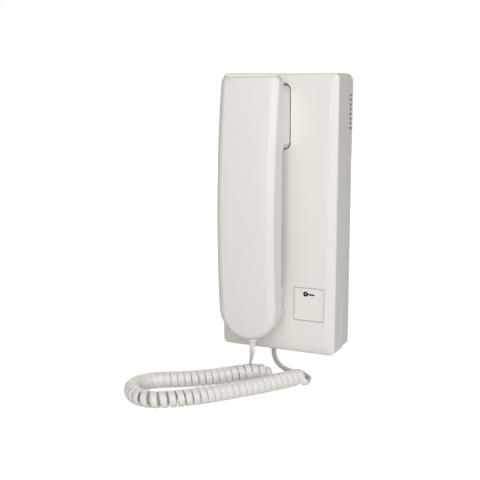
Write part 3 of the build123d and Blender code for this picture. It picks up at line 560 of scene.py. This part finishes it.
def coil_line(cord):
    """The cord's middle line round the coil. It runs at the coil's radius round an axis line: out at cos,
    up at sin, of a turn count that grows along the axis by its length over a pitch that varies. Each turn
    advances faster on its wall side than on its room side, and where the axis lies low the turns are smaller
    by as much. Gives the line, its outward directions, and the pitch at each point over the least one."""
    axis = CORD_PLACE + smooth_line("coil_axis", COIL_AXIS - [0, 0, cord.coil_drop], AXIS_STEPS)
    run = run_of(axis)
    pitch = np.interp(run / run[-1], PITCH_PLACES, PITCH_SIZES)
    count = np.r_[0, np.cumsum(np.diff(run) * (1 / pitch[1:] + 1 / pitch[:-1]) / 2)]
    turns = np.linspace(0, cord.turns, int(cord.turns * TURN_POINTS) + 1)
    where = np.interp(turns, count / count[-1] * cord.turns, run)
    ahead = np.gradient(axis[:, :2], run, axis=0)
    facing_room = np.interp(where, run, ahead @ [ROOM_SIDE[1], -ROOM_SIDE[0]])
    step = run[-1] / cord.turns * cord.lean / (2 * np.pi)
    where = np.clip(where - step * facing_room * np.sin(2 * np.pi * turns), 0, run[-1])
    middle = np.column_stack([np.interp(where, run, axis[:, i]) for i in range(3)])
    ahead = unit(np.column_stack([np.interp(where, run, ahead[:, i]) for i in range(2)]))
    side = np.column_stack([-ahead[:, 1], ahead[:, 0], np.zeros(len(ahead))])
    out = np.cos(2 * np.pi * turns)[:, None] * side
    out = out + np.sin(2 * np.pi * turns)[:, None] * np.array([0, 0, 1.0])
    # A quadratic spline runs inside its control points by this much on a circle
    inside = (3 + np.cos(2 * np.pi / TURN_POINTS)) / 4
    lower = np.maximum(CORD_PLACE[2] - cord.coil_drop - middle[:, 2:], 0)
    spread = np.interp(where / run[-1], PITCH_PLACES, PITCH_SIZES)
    return middle + (cord.coil_radius - lower) / inside * out, out, spread / min(PITCH_SIZES)


def carried(line, guides, values):
    """Spreads values that belong to guide points over a line's points, by the nearest share of the run."""
    run = run_of(line)
    places = run_of(guides)
    share, target = run / run[-1], places / places[-1]
    return np.column_stack([np.interp(share, target, values[:, i]) for i in range(values.shape[1])])


class INTERCOM_OT_cord(bpy.types.Operator):
    """Makes the flat cord: the lead from the base, the coil, and the lead up to the handset"""
    bl_idname = "intercom.cord"
    bl_label = "Cord"

    def execute(self, context):
        cord = context.scene.intercom_cord
        colour = np.array(cord.jacket_colour)
        jacket = plastic("cord_jacket", colour, 0.36, grain=2500.0, bump=0.01, specular=0.45)
        # Painted shade: the straight lead and the start of the loose loop are darker than the coil, for the
        # shade under the base unit and inside the loop, as the piece's own attribute says
        painted_shade = node(jacket.node_tree, "ShaderNodeAttribute", attribute_name="painted_shade").outputs["Fac"]
        mix_into_base(jacket.node_tree, painted_shade, (*(cord.lead_shade_tone * colour), 1))
        helix, out, spread = coil_line(cord)
        opening = np.vstack([BASE_EXIT, CORD_PLACE + BASE_LEAD, CORD_PLACE + LOOSE_START])
        closing = np.vstack([CORD_PLACE + LOOSE_END, CORD_PLACE + HAND_LEAD[-1]])
        guides = np.vstack([opening, helix, closing])
        line = smooth_line("cord_route", guides, CORD_STEPS)
        lead_faces = [BASE_LEAD_FACE] * (1 + len(BASE_LEAD))
        faces = np.vstack([lead_faces, LOOSE_START_FACES, out, LOOSE_END_FACES])
        widths = cord.band_width * spread ** STRETCH_POWER
        sizes = np.column_stack([widths, np.full(len(spread), cord.band_thickness)])
        ends = np.array([[cord.lead_width, cord.lead_thickness]])
        sizes = np.vstack([
            np.repeat(ends, len(opening) - WIDE_POINTS, 0), np.repeat(sizes[:1], WIDE_POINTS, 0), sizes,
            np.repeat(ends, len(closing), 0),
        ])
        coil = band_tube("cord_coil", line, carried(line, guides, faces), *carried(line, guides, sizes).T)
        shade_shares = np.r_[
            np.ones(len(opening) - len(SHADE_FADE)), SHADE_FADE, np.zeros(len(guides) - len(opening)),
        ]
        shade_shares = carried(line, guides, shade_shares[:, None])[:, 0]
        give_values(coil, "painted_shade", "POINT", np.repeat(shade_shares, len(coil.data.vertices) // len(line)))
        coil.data.materials.append(jacket)
        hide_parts("base_lead", "curly_cord")
        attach(coil, "base")
        guides = np.vstack([HAND_EXIT, HAND_EXIT - [0, 0, HAND_DROP], CORD_PLACE + HAND_LEAD])[::-1]
        line = smooth_line("hand_lead_route", guides, HAND_LEAD_STEPS)
        facing = carried(line, guides, np.array(HAND_LEAD_FACES))
        lead = band_tube("cord_hand_lead", line, facing, cord.lead_width, cord.lead_thickness)
        lead.data.materials.append(jacket)
        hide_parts("handset_lead")
        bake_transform(lead)
        for name in ("base_grommet", "handset_grommet"):
            give(name, jacket)
        return {"FINISHED"}


def rounded_outline(half_width, top, low, top_corner, low_corner):
    """The handset's outline seen from the room, counter-clockwise: four corner arcs joined by straight runs.
    Each point comes with the outward normal there. Arcs and runs always have the same number of points."""
    left, right = SHELL_MIDDLE - half_width, SHELL_MIDDLE + half_width
    # Each arc's middle, radius, first angle in degrees and points, and the steps of the run that follows it
    corners = (
        (right - low_corner, low + low_corner, low_corner, 270, 26, 70),
        (right - top_corner, top - top_corner, top_corner, 0, 10, 22),
        (left + top_corner, top - top_corner, top_corner, 90, 10, 70),
        (left + low_corner, low + low_corner, low_corner, 180, 26, 3),
    )
    places, normals = [], []
    for x, z, radius, turn, steps, _ in corners:
        angle = np.radians(turn + np.linspace(0, 90, steps))
        normal = np.column_stack([np.cos(angle), np.sin(angle)])
        places.append(np.array([x, z]) + radius * normal)
        normals.append(normal)
    ring, ring_normals = [], []
    for i, (*_, steps) in enumerate(corners):
        share = np.linspace(0, 1, steps + 1)[1:-1, None]
        following = places[(i + 1) % len(corners)][0]
        ring += [places[i], places[i][-1] * (1 - share) + following * share]
        ring_normals += [normals[i], np.repeat(normals[i][-1:], len(share), 0)]
    return np.vstack(ring), np.vstack(ring_normals)


def front_depth(flat, shells):
    """Y of the handset's front over points in X and Z: a circle of the bow's radius lengthwise, less a
    parabola across that falls by the crown at the two sides."""
    bow = BOW_RADIUS - np.sqrt(BOW_RADIUS ** 2 - (flat[..., 1] - BOW_CENTRE) ** 2)
    across = (flat[..., 0] - SHELL_MIDDLE) / SHELL_HALF
    return SHELL_LOW[1] + bow + shells.crown * across ** 2


def handset_skin(name, shells):
    """The handset's outer shell as one closed surface of rings. From the front's spine the rings widen to
    the inner outline, go down a shoulder (a circular arc of turn 2 atan(drop / width)), round a small edge,
    go back along a drafted side to the parting line, and return inside at the wall's thickness."""
    wall, draft, edge, seam = 2.0 * MM, 0.30 * MM, 0.5 * MM, 0.25 * MM
    front_rings, shoulder_rings, edge_rings = 15, 13, 6
    end_drop, corner_gap, spine_gap, side_slope = 0.75, 0.6 * MM, 14 * MM, radians(88)
    # How much rubbing and painted highlight show, up to one: it grows down the shoulder, is most on the edge
    # and fades behind
    shoulder_wear, edge_wear, edge_fade, side_wear, seam_wear = 0.6, 1.0, 0.4, 0.2, 0.3
    outer, normal = rounded_outline(SHELL_HALF, SHELL_HIGH[2], SHELL_LOW[2], TOP_CORNER, LOW_CORNER)
    side, end = shells.shoulder_side, shells.shoulder_end
    inner_half = SHELL_HALF - side
    inner, _ = rounded_outline(
        inner_half, SHELL_HIGH[2] - end, SHELL_LOW[2] + end, TOP_CORNER / 2, inner_half - corner_gap,
    )
    drop = shells.shoulder_drop * (end_drop + (1 - end_drop) * np.abs(normal[:, 0]))
    turn = 2 * np.arctan(drop / np.linalg.norm(outer - inner, axis=1))
    rim = outer - (draft + edge * (1 - np.sin(turn)))[:, None] * normal
    spine = np.column_stack([
        np.full(len(outer), SHELL_MIDDLE),
        np.clip(inner[:, 1], SHELL_LOW[2] + LOW_CORNER, SHELL_HIGH[2] - spine_gap),
    ])
    rings, backs, rubbing_and_light = [], [], []

    def ring(flat, back, rubbed_and_lit=0.0):
        rings.append(flat)
        backs.append(np.broadcast_to(back, len(flat)))
        rubbing_and_light.append(np.full(len(flat), rubbed_and_lit))

    for share in np.linspace(1, 0, front_rings)[:-1]:
        flat = inner + share * (spine - inner)
        ring(flat, front_depth(flat, shells))
    for share in np.linspace(0, 1, shoulder_rings):
        angle = share * turn
        flat = inner + (np.sin(angle) / np.sin(turn))[:, None] * (rim - inner)
        fall = drop * (1 - np.cos(angle)) / (1 - np.cos(turn))
        ring(flat, front_depth(flat, shells) + fall, shoulder_wear * share ** 3)
    start = backs[-1]
    for share in np.linspace(0, 1, edge_rings)[1:]:
        angle = turn + share * (side_slope - turn)
        flat = rim + (edge * (np.sin(angle) - np.sin(turn)))[:, None] * normal
        ring(flat, start + edge * (np.cos(turn) - np.cos(angle)), edge_wear - edge_fade * share)
    corner, start = rings[-1], backs[-1]
    for share in (0.06, 0.2, 0.4, 0.6, 0.8, 0.94, 1.0):
        depth = start + share * (PARTING - seam - start)
        ring(corner + share * (outer - corner), depth, side_wear * (share == 1.0))
    ring(outer - seam * normal, PARTING, seam_wear)
    cavity = outer - wall * normal
    ring(cavity, PARTING)
    ring(cavity, backs[front_rings - 3] + drop + wall)
    for share in (0.3, 0.6, 1.0):
        flat = cavity + share * (spine - cavity)
        ring(flat, front_depth(flat, shells) + wall)
    flat = np.vstack(rings)
    points = np.column_stack([flat[:, 0], np.concatenate(backs), flat[:, 1]])
    piece = mesh_from_arrays(name, points, tube_faces(len(rings), len(outer))[:, ::-1])
    give_values(piece, "edge", "POINT", np.concatenate(rubbing_and_light))
    model = bmesh.new()
    model.from_mesh(piece.data)
    same_place = 0.0005 * MM
    bmesh.ops.remove_doubles(model, verts=model.verts, dist=same_place)
    bmesh.ops.dissolve_degenerate(model, edges=model.edges, dist=same_place)
    bmesh.ops.recalc_face_normals(model, faces=model.faces)
    model.to_mesh(piece.data)
    model.free()
    return smooth(piece, 40)


def edge_table(mesh):
    """Each edge's middle, and the turn in degrees between its two faces, negative in a hollow corner."""
    middles = read(mesh.vertices, "co", 3)[read(mesh.edges, "vertices", 2, np.int32)].mean(1)
    edge_of_loop = read(mesh.loops, "edge_index", kind=np.int32)
    sizes = read(mesh.polygons, "loop_total", kind=np.int32)
    normals, centres = read(mesh.polygons, "normal", 3), read(mesh.polygons, "center", 3)
    order = np.argsort(edge_of_loop, kind="stable")
    face = np.repeat(np.arange(len(sizes)), sizes)[order]
    first = np.searchsorted(edge_of_loop[order], np.arange(len(mesh.edges)))
    one, other = face[first], face[np.minimum(first + 1, len(face) - 1)]
    turn = np.degrees(np.arccos(np.clip((normals[one] * normals[other]).sum(1), -1, 1)))
    hollow = (normals[one] * (centres[other] - centres[one])).sum(1) > 0
    return middles, np.where(hollow, -turn, turn)


def softened(name, source, width, share, reshape=None):
    """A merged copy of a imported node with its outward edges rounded. share(middles, turns) gives each edge's
    part of the width; reshape may cut and move the merged model first."""
    piece = new_object(name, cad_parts[source].data.copy())
    piece.data.name = name
    piece.data.materials.clear()
    model = bmesh.new()
    model.from_mesh(piece.data)
    bmesh.ops.remove_doubles(model, verts=model.verts, dist=0.002 * MM)
    bmesh.ops.dissolve_limit(model, angle_limit=radians(0.5), verts=model.verts, edges=model.edges)
    if reshape:
        reshape(model)
    model.to_mesh(piece.data)
    model.free()
    middles, turns = edge_table(piece.data)
    give_values(piece, "bevel_weight_edge", "EDGE", share(middles, turns))
    rounding = piece.modifiers.new("edges", "BEVEL")
    rounding.limit_method, rounding.width, rounding.segments = "WEIGHT", width, 3
    rounding.material = 1
    piece.modifiers.new("flat faces", "WEIGHTED_NORMAL").keep_sharp = True
    return smooth(piece, 32)


def sharp_share(middles, turns):
    """All sharp outward edges get the full width."""
    return (turns > SHARP_TURN).astype(float)


def cover_share(middles, turns):
    """As sharp_share, but the vent slots in the right wall keep crisp edges."""
    x, y = middles[:, 0], middles[:, 1]
    vents = (x > REAR_HIGH[0] - VENT_EDGE_REACH) & (y > VENT_LOW[1]) & (y < VENT_EDGE_BACK)
    return np.where(vents, VENT_ROUND_SHARE, 1.0) * sharp_share(middles, turns)


def on_bevel(x, z):
    """Whether places in X and Z lie on the base unit's bevel, outside its face."""
    inner = HOUSING_HIGH - BEVEL_REACH
    return (np.abs(x) > inner[0]) | (np.abs(z) > inner[2])


def swell_bevel(model):
    """Cuts the base unit's flat bevel along its length, and moves it out by 4 t (1 - t) times the swell,
    where t runs from the face down to the bevel's outer line. The last fifth of the bevel stays."""
    swell = bpy.context.scene.intercom_shells.bevel_swell
    face, outer_line = HOUSING_LOW[1], HOUSING_LOW[1] + BEVEL_DEPTH
    for share in (0.08, 0.2, 0.34, 0.48, 0.62, 0.76):
        cut = face + share * (outer_line - face)
        bmesh.ops.bisect_plane(
            model, geom=[*model.verts, *model.edges, *model.faces], dist=1e-7, plane_co=(0, cut, 0),
            plane_no=(0, 1, 0),
        )
    for vertex in model.verts:
        t = (vertex.co.y - face) / (outer_line - face)
        if 0 < t < 0.8 and on_bevel(vertex.co.x, vertex.co.z):
            vertex.co.y -= 4 * t * (1 - t) * swell


def housing_share(middles, turns):
    """The line between face and bevel is rounded widest, and the other outward edges a little."""
    rim = np.abs(middles[:, 1] - HOUSING_LOW[1]) < 0.01 * MM
    rim &= on_bevel(middles[:, 0], middles[:, 2])
    plain = PLAIN_ROUND_SHARE * sharp_share(middles, turns)
    return np.where(rim & (turns > RIM_TURN), 1.0, plain)


class INTERCOM_OT_handset(bpy.types.Operator):
    """Makes the handset's crowned outer shell and its inner shell with soft edges"""
    bl_idname = "intercom.handset"
    bl_label = "Handset shells"

    def execute(self, context):
        shells = context.scene.intercom_shells
        front = handset_skin("handset_front_skin", shells)
        front.data.materials.append(shell_plastic("handset_white"))
        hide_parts("handset_shell")
        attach(front, "handset")
        back = softened("handset_inner_shell", "handset_back", shells.edge_round, sharp_share)
        for finish in ("handset_back_white", "handset_back_edge"):
            # Painted shade: the grip's inner side between the ear block and the mouth block is darkened, for
            # the shade in the gap behind the handset
            grip_shaded = darkened(shell_plastic(finish), GRIP_LOW, GRIP_HIGH, shells.grip_shade_tone, GRIP_FADE)
            back.data.materials.append(grip_shaded)
        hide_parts("handset_back")
        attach(back, "handset")
        return {"FINISHED"}


class INTERCOM_OT_base(bpy.types.Operator):
    """Makes the base unit's front housing with its soft bevel, and the rear cover"""
    bl_idname = "intercom.base"
    bl_label = "Base unit shells"

    def execute(self, context):
        shells = context.scene.intercom_shells
        housing = softened("base_front_housing", "front_housing", BEVEL_ROUND, housing_share, swell_bevel)
        for finish in ("housing_white", "housing_edge"):
            housing.data.materials.append(shell_plastic(finish))
        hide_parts("front_housing")
        cover = softened("base_rear_cover", "rear_cover", shells.edge_round, cover_share)
        for finish in ("cover_white", "cover_edge"):
            # Painted shade: the walls of the vent slots are darkened, for the shade inside them
            vent_shaded = darkened(shell_plastic(finish), VENT_LOW, VENT_HIGH, shells.vent_shade_tone)
            cover.data.materials.append(vent_shaded)
        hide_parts("rear_cover")
        for piece in (housing, cover):
            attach(piece, "base")
        give("hook_plunger", shell_plastic("plunger_white"))
        return {"FINISHED"}


def key_mark(name, key):
    """The printed key: a flat ring, made as a square-sectioned tube round a circle, and a shaft whose
    outline is carried forward by the same height, with one small tooth."""
    sunk, raised, tooth, steps = 0.02 * MM, 0.03 * MM, 0.35 * MM, 48
    back, front = BUTTON_FRONT + sunk, BUTTON_FRONT - raised
    angle = np.linspace(0, 2 * np.pi, steps, endpoint=False)
    around = np.column_stack([np.cos(angle), np.sin(angle)])
    section = (
        (key.ring_radius, back), (key.ring_radius, front), (key.ring_hole, front), (key.ring_hole, back),
    )
    rings = [np.column_stack([*(KEY_HEAD + radius * around).T, np.full(steps, y)]) for radius, y in section]
    points = np.stack(rings, 1).reshape(-1, 3)[:, [0, 2, 1]]
    count = len(section)
    faces = tube_faces(steps + 1, count) % (steps * count)
    ahead = unit(KEY_TIP - KEY_HEAD)
    up = np.array([-ahead[1], ahead[0]])
    length = np.linalg.norm(KEY_TIP - KEY_HEAD)
    half, near = key.shaft_width / 2, (key.ring_radius + key.ring_hole) / 2
    outline = np.array([
        (near, -half), (length - 3 * tooth, -half), (length - 3 * tooth, -half - tooth / 2),
        (length - tooth, -half - tooth / 2), (length - tooth, -half), (length, -half * 0.7),
        (length, half * 0.7), (length - tooth, half), (near, half),
    ])
    flat = KEY_HEAD + outline[:, :1] * ahead + outline[:, 1:] * up
    model = bmesh.new()
    ring = [model.verts.new(point) for point in points]
    for face in faces:
        model.faces.new([ring[k] for k in face])
    low = [model.verts.new((x, back, z)) for x, z in flat]
    high = [model.verts.new((x, front, z)) for x, z in flat]
    model.faces.new(low)
    model.faces.new(high[::-1])
    for k in range(len(flat)):
        m = (k + 1) % len(flat)
        model.faces.new((low[k], high[k], high[m], low[m]))
    bmesh.ops.recalc_face_normals(model, faces=model.faces)
    mesh = bpy.data.meshes.new(name)
    model.to_mesh(mesh)
    model.free()
    return new_object(name, mesh)


class INTERCOM_OT_button(bpy.types.Operator):
    """Makes the door button with soft edges, and the key printed on it"""
    bl_idname = "intercom.button"
    bl_label = "Door button"

    def execute(self, context):
        shells, key = context.scene.intercom_shells, context.scene.intercom_key
        cap = softened("door_button_cap", "door_button", shells.edge_round, sharp_share)
        for finish in ("button_white", "button_edge"):
            cap.data.materials.append(shell_plastic(finish))
        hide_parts("door_button")
        mark = key_mark("door_key_mark", key)
        ink = plastic("key_print", key.key_colour, 0.5, grain=4000.0, bump=0.05, specular=0.2)
        mark.data.materials.append(ink)
        for piece in (cap, mark):
            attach(piece, "door_release")
        return {"FINISHED"}


class INTERCOM_OT_inside(bpy.types.Operator):
    """Gives the hidden parts their materials"""
    bl_idname = "intercom.inside"
    bl_label = "Inner parts"

    def execute(self, context):
        steel = metal("zinc_plate", (0.62, 0.62, 0.64), 0.35)
        black = plastic("black_moulding", (0.03, 0.03, 0.03), 0.45)
        named = {
            "cover_screw": steel, "board_screws": steel, "handset_screws": steel, "terminal_screws": steel,
            "handset_weight": metal("weight_bar", (0.5, 0.5, 0.52), 0.5),
            "hook_spring": metal("spring_wire", (0.6, 0.6, 0.62), 0.3),
            "call_speaker_magnet": metal("magnet_yoke", (0.35, 0.35, 0.37), 0.45),
            "earpiece_magnet": metal("magnet_yoke_small", (0.35, 0.35, 0.37), 0.45),
            "capacitors": metal("capacitor_can", (0.66, 0.67, 0.69), 0.3),
            "microphone": metal("microphone_can", (0.66, 0.67, 0.69), 0.3),
            "main_board": plastic("board_green", (0.05, 0.24, 0.10), 0.4),
            "terminal_block": plastic("terminal_green", (0.10, 0.35, 0.18), 0.35),
            "volume_trimmer": plastic("trimmer_blue", (0.10, 0.20, 0.45), 0.4),
            "call_speaker_cone": plastic("cone_film", (0.55, 0.53, 0.48), 0.55),
            "earpiece_cone": plastic("cone_film_small", (0.55, 0.53, 0.48), 0.55),
            "microphone_boot": plastic("boot_rubber", (0.04, 0.04, 0.04), 0.75, specular=0.3),
            "earpiece_felt": plastic("felt", (0.10, 0.10, 0.10), 0.95, grain=2500.0, bump=0.3, specular=0.1),
        }
        for name in (
            "amplifier_chip", "call_speaker_frame", "hook_spring_cup", "hook_switch", "door_switch",
            "door_switch_stem", "earpiece_frame",
        ):
            named[name] = black
        for name, material in named.items():
            give(name, material)
        return {"FINISHED"}


def seen_ray(tree, gloss):
    """One where a surface is seen straight by the camera or through glass, the gloss share where it is seen
    in a gloss, and nought elsewhere."""
    path = node(tree, "ShaderNodeLightPath")
    share = node(tree, "ShaderNodeMath", {0: path.outputs["Is Glossy Ray"], 1: gloss}, operation="MULTIPLY")
    seen = node(tree, "ShaderNodeMath", {
        0: path.outputs["Is Camera Ray"], 1: share.outputs[0],
    }, operation="MAXIMUM")
    seen = node(tree, "ShaderNodeMath", {
        0: seen.outputs[0], 1: path.outputs["Is Transmission Ray"],
    }, operation="MAXIMUM")
    return seen.outputs[0]


def soft_light(name, place, size, power):
    """A soft box of a width and height that looks at the lamps' common point."""
    lamp = bpy.data.lights.new(name, "AREA")
    lamp.shape = "RECTANGLE"
    lamp.size, lamp.size_y = size
    lamp.energy = power
    holder = new_object(name, lamp)
    holder.location = place
    toward = np.subtract(LAMP_AIM, place)
    holder.rotation_euler = Vector(toward).to_track_quat("-Z", "Y").to_euler()
    return holder


class INTERCOM_OT_stage(bpy.types.Operator):
    """Lays the pale floor, the soft lights and the camera of the photograph"""
    bl_idname = "intercom.stage"
    bl_label = "Stage"

    def execute(self, context):
        stage = context.scene.intercom_stage
        scene = context.scene
        scene.view_settings.view_transform = "Standard"
        world = bpy.data.worlds.new("studio")
        scene.world = world
        world.use_nodes = True
        tree = world.node_tree
        tree.nodes.clear()
        strength = node(tree, "ShaderNodeMix", {
            "Factor": seen_ray(tree, stage.gloss_share), "A": stage.ambient, "B": 1.0,
        })
        sky = node(tree, "ShaderNodeBackground", {
            "Color": (1.0, 1.0, 1.0, 1.0), "Strength": strength.outputs["Result"],
        })
        node(tree, "ShaderNodeOutputWorld", {"Surface": sky.outputs["Background"]})

        low = CAD_BOX[0][2]
        ways = ((-1, -1), (1, -1), (1, 1), (-1, 1))
        corners = np.array([(FLOOR_REACH * x, FLOOR_REACH * y, low) for x, y in ways])
        floor = mesh_from_arrays("floor", corners, np.array([[0, 1, 2, 3]]))
        white = bpy.data.materials.new("floor_white")
        white.use_nodes = True
        tree = white.node_tree
        shader = tree.nodes["Principled BSDF"]
        shader.inputs["Base Color"].default_value = (stage.floor_tone,) * 3 + (1,)
        shader.inputs["Roughness"].default_value = FLOOR_ROUGHNESS
        shader.inputs["Specular IOR Level"].default_value = FLOOR_SPECULAR
        shader.inputs["Emission Color"].default_value = (1, 1, 1, 1)
        place = node(tree, "ShaderNodeTexCoord").outputs["Object"]
        away = node(tree, "ShaderNodeVectorMath", {0: place}, operation="LENGTH")
        full = node(tree, "ShaderNodeMapRange", {
            "Value": away.outputs["Value"], "From Min": FLOOR_NEAR, "From Max": FLOOR_FAR,
            "To Min": stage.floor_glow, "To Max": 1.0,
        }, interpolation_type="SMOOTHSTEP")
        glow = node(tree, "ShaderNodeMath", {
            0: seen_ray(tree, stage.gloss_share), 1: full.outputs["Result"],
        }, operation="MULTIPLY")
        tree.links.new(glow.outputs[0], shader.inputs["Emission Strength"])
        floor.data.materials.append(white)

        for name, place, size, power in LAMPS:
            soft_light(name, place, size, power)

        camera = bpy.data.cameras.new("camera")
        camera.lens, camera.sensor_width = CAMERA_LENS, CAMERA_SENSOR
        holder = new_object("camera", camera)
        holder.location = CAMERA_PLACE
        holder.rotation_euler = CAMERA_TURN
        scene.camera = holder
        return {"FINISHED"}


class INTERCOM_PT_panel(bpy.types.Panel):
    """Lists the steps that build the intercom"""
    bl_label = "Intercom"
    bl_idname = "INTERCOM_PT_panel"
    bl_space_type = "VIEW_3D"
    bl_region_type = "UI"
    bl_category = "Intercom"

    def draw(self, context):
        for operator in OPERATORS:
            self.layout.operator(operator.bl_idname)


SETTINGS = {
    "intercom_cord": CordSettings, "intercom_shells": ShellSettings, "intercom_key": KeySettings,
    "intercom_stage": StageSettings,
}
OPERATORS = (
    INTERCOM_OT_handset, INTERCOM_OT_base, INTERCOM_OT_button, INTERCOM_OT_inside, INTERCOM_OT_cord,
    INTERCOM_OT_stage,
)
CLASSES = (*SETTINGS.values(), *OPERATORS, INTERCOM_PT_panel)


def register():
    for made in CLASSES:
        bpy.utils.register_class(made)
    for name, group in SETTINGS.items():
        setattr(bpy.types.Scene, name, PointerProperty(type=group))


def unregister():
    for name in SETTINGS:
        delattr(bpy.types.Scene, name)
    for made in reversed(CLASSES):
        bpy.utils.unregister_class(made)


def main():
    register()
    for operator in OPERATORS:
        group, action = operator.bl_idname.split(".")
        getattr(getattr(bpy.ops, group), action)()


if __name__ == "__main__":
    main()
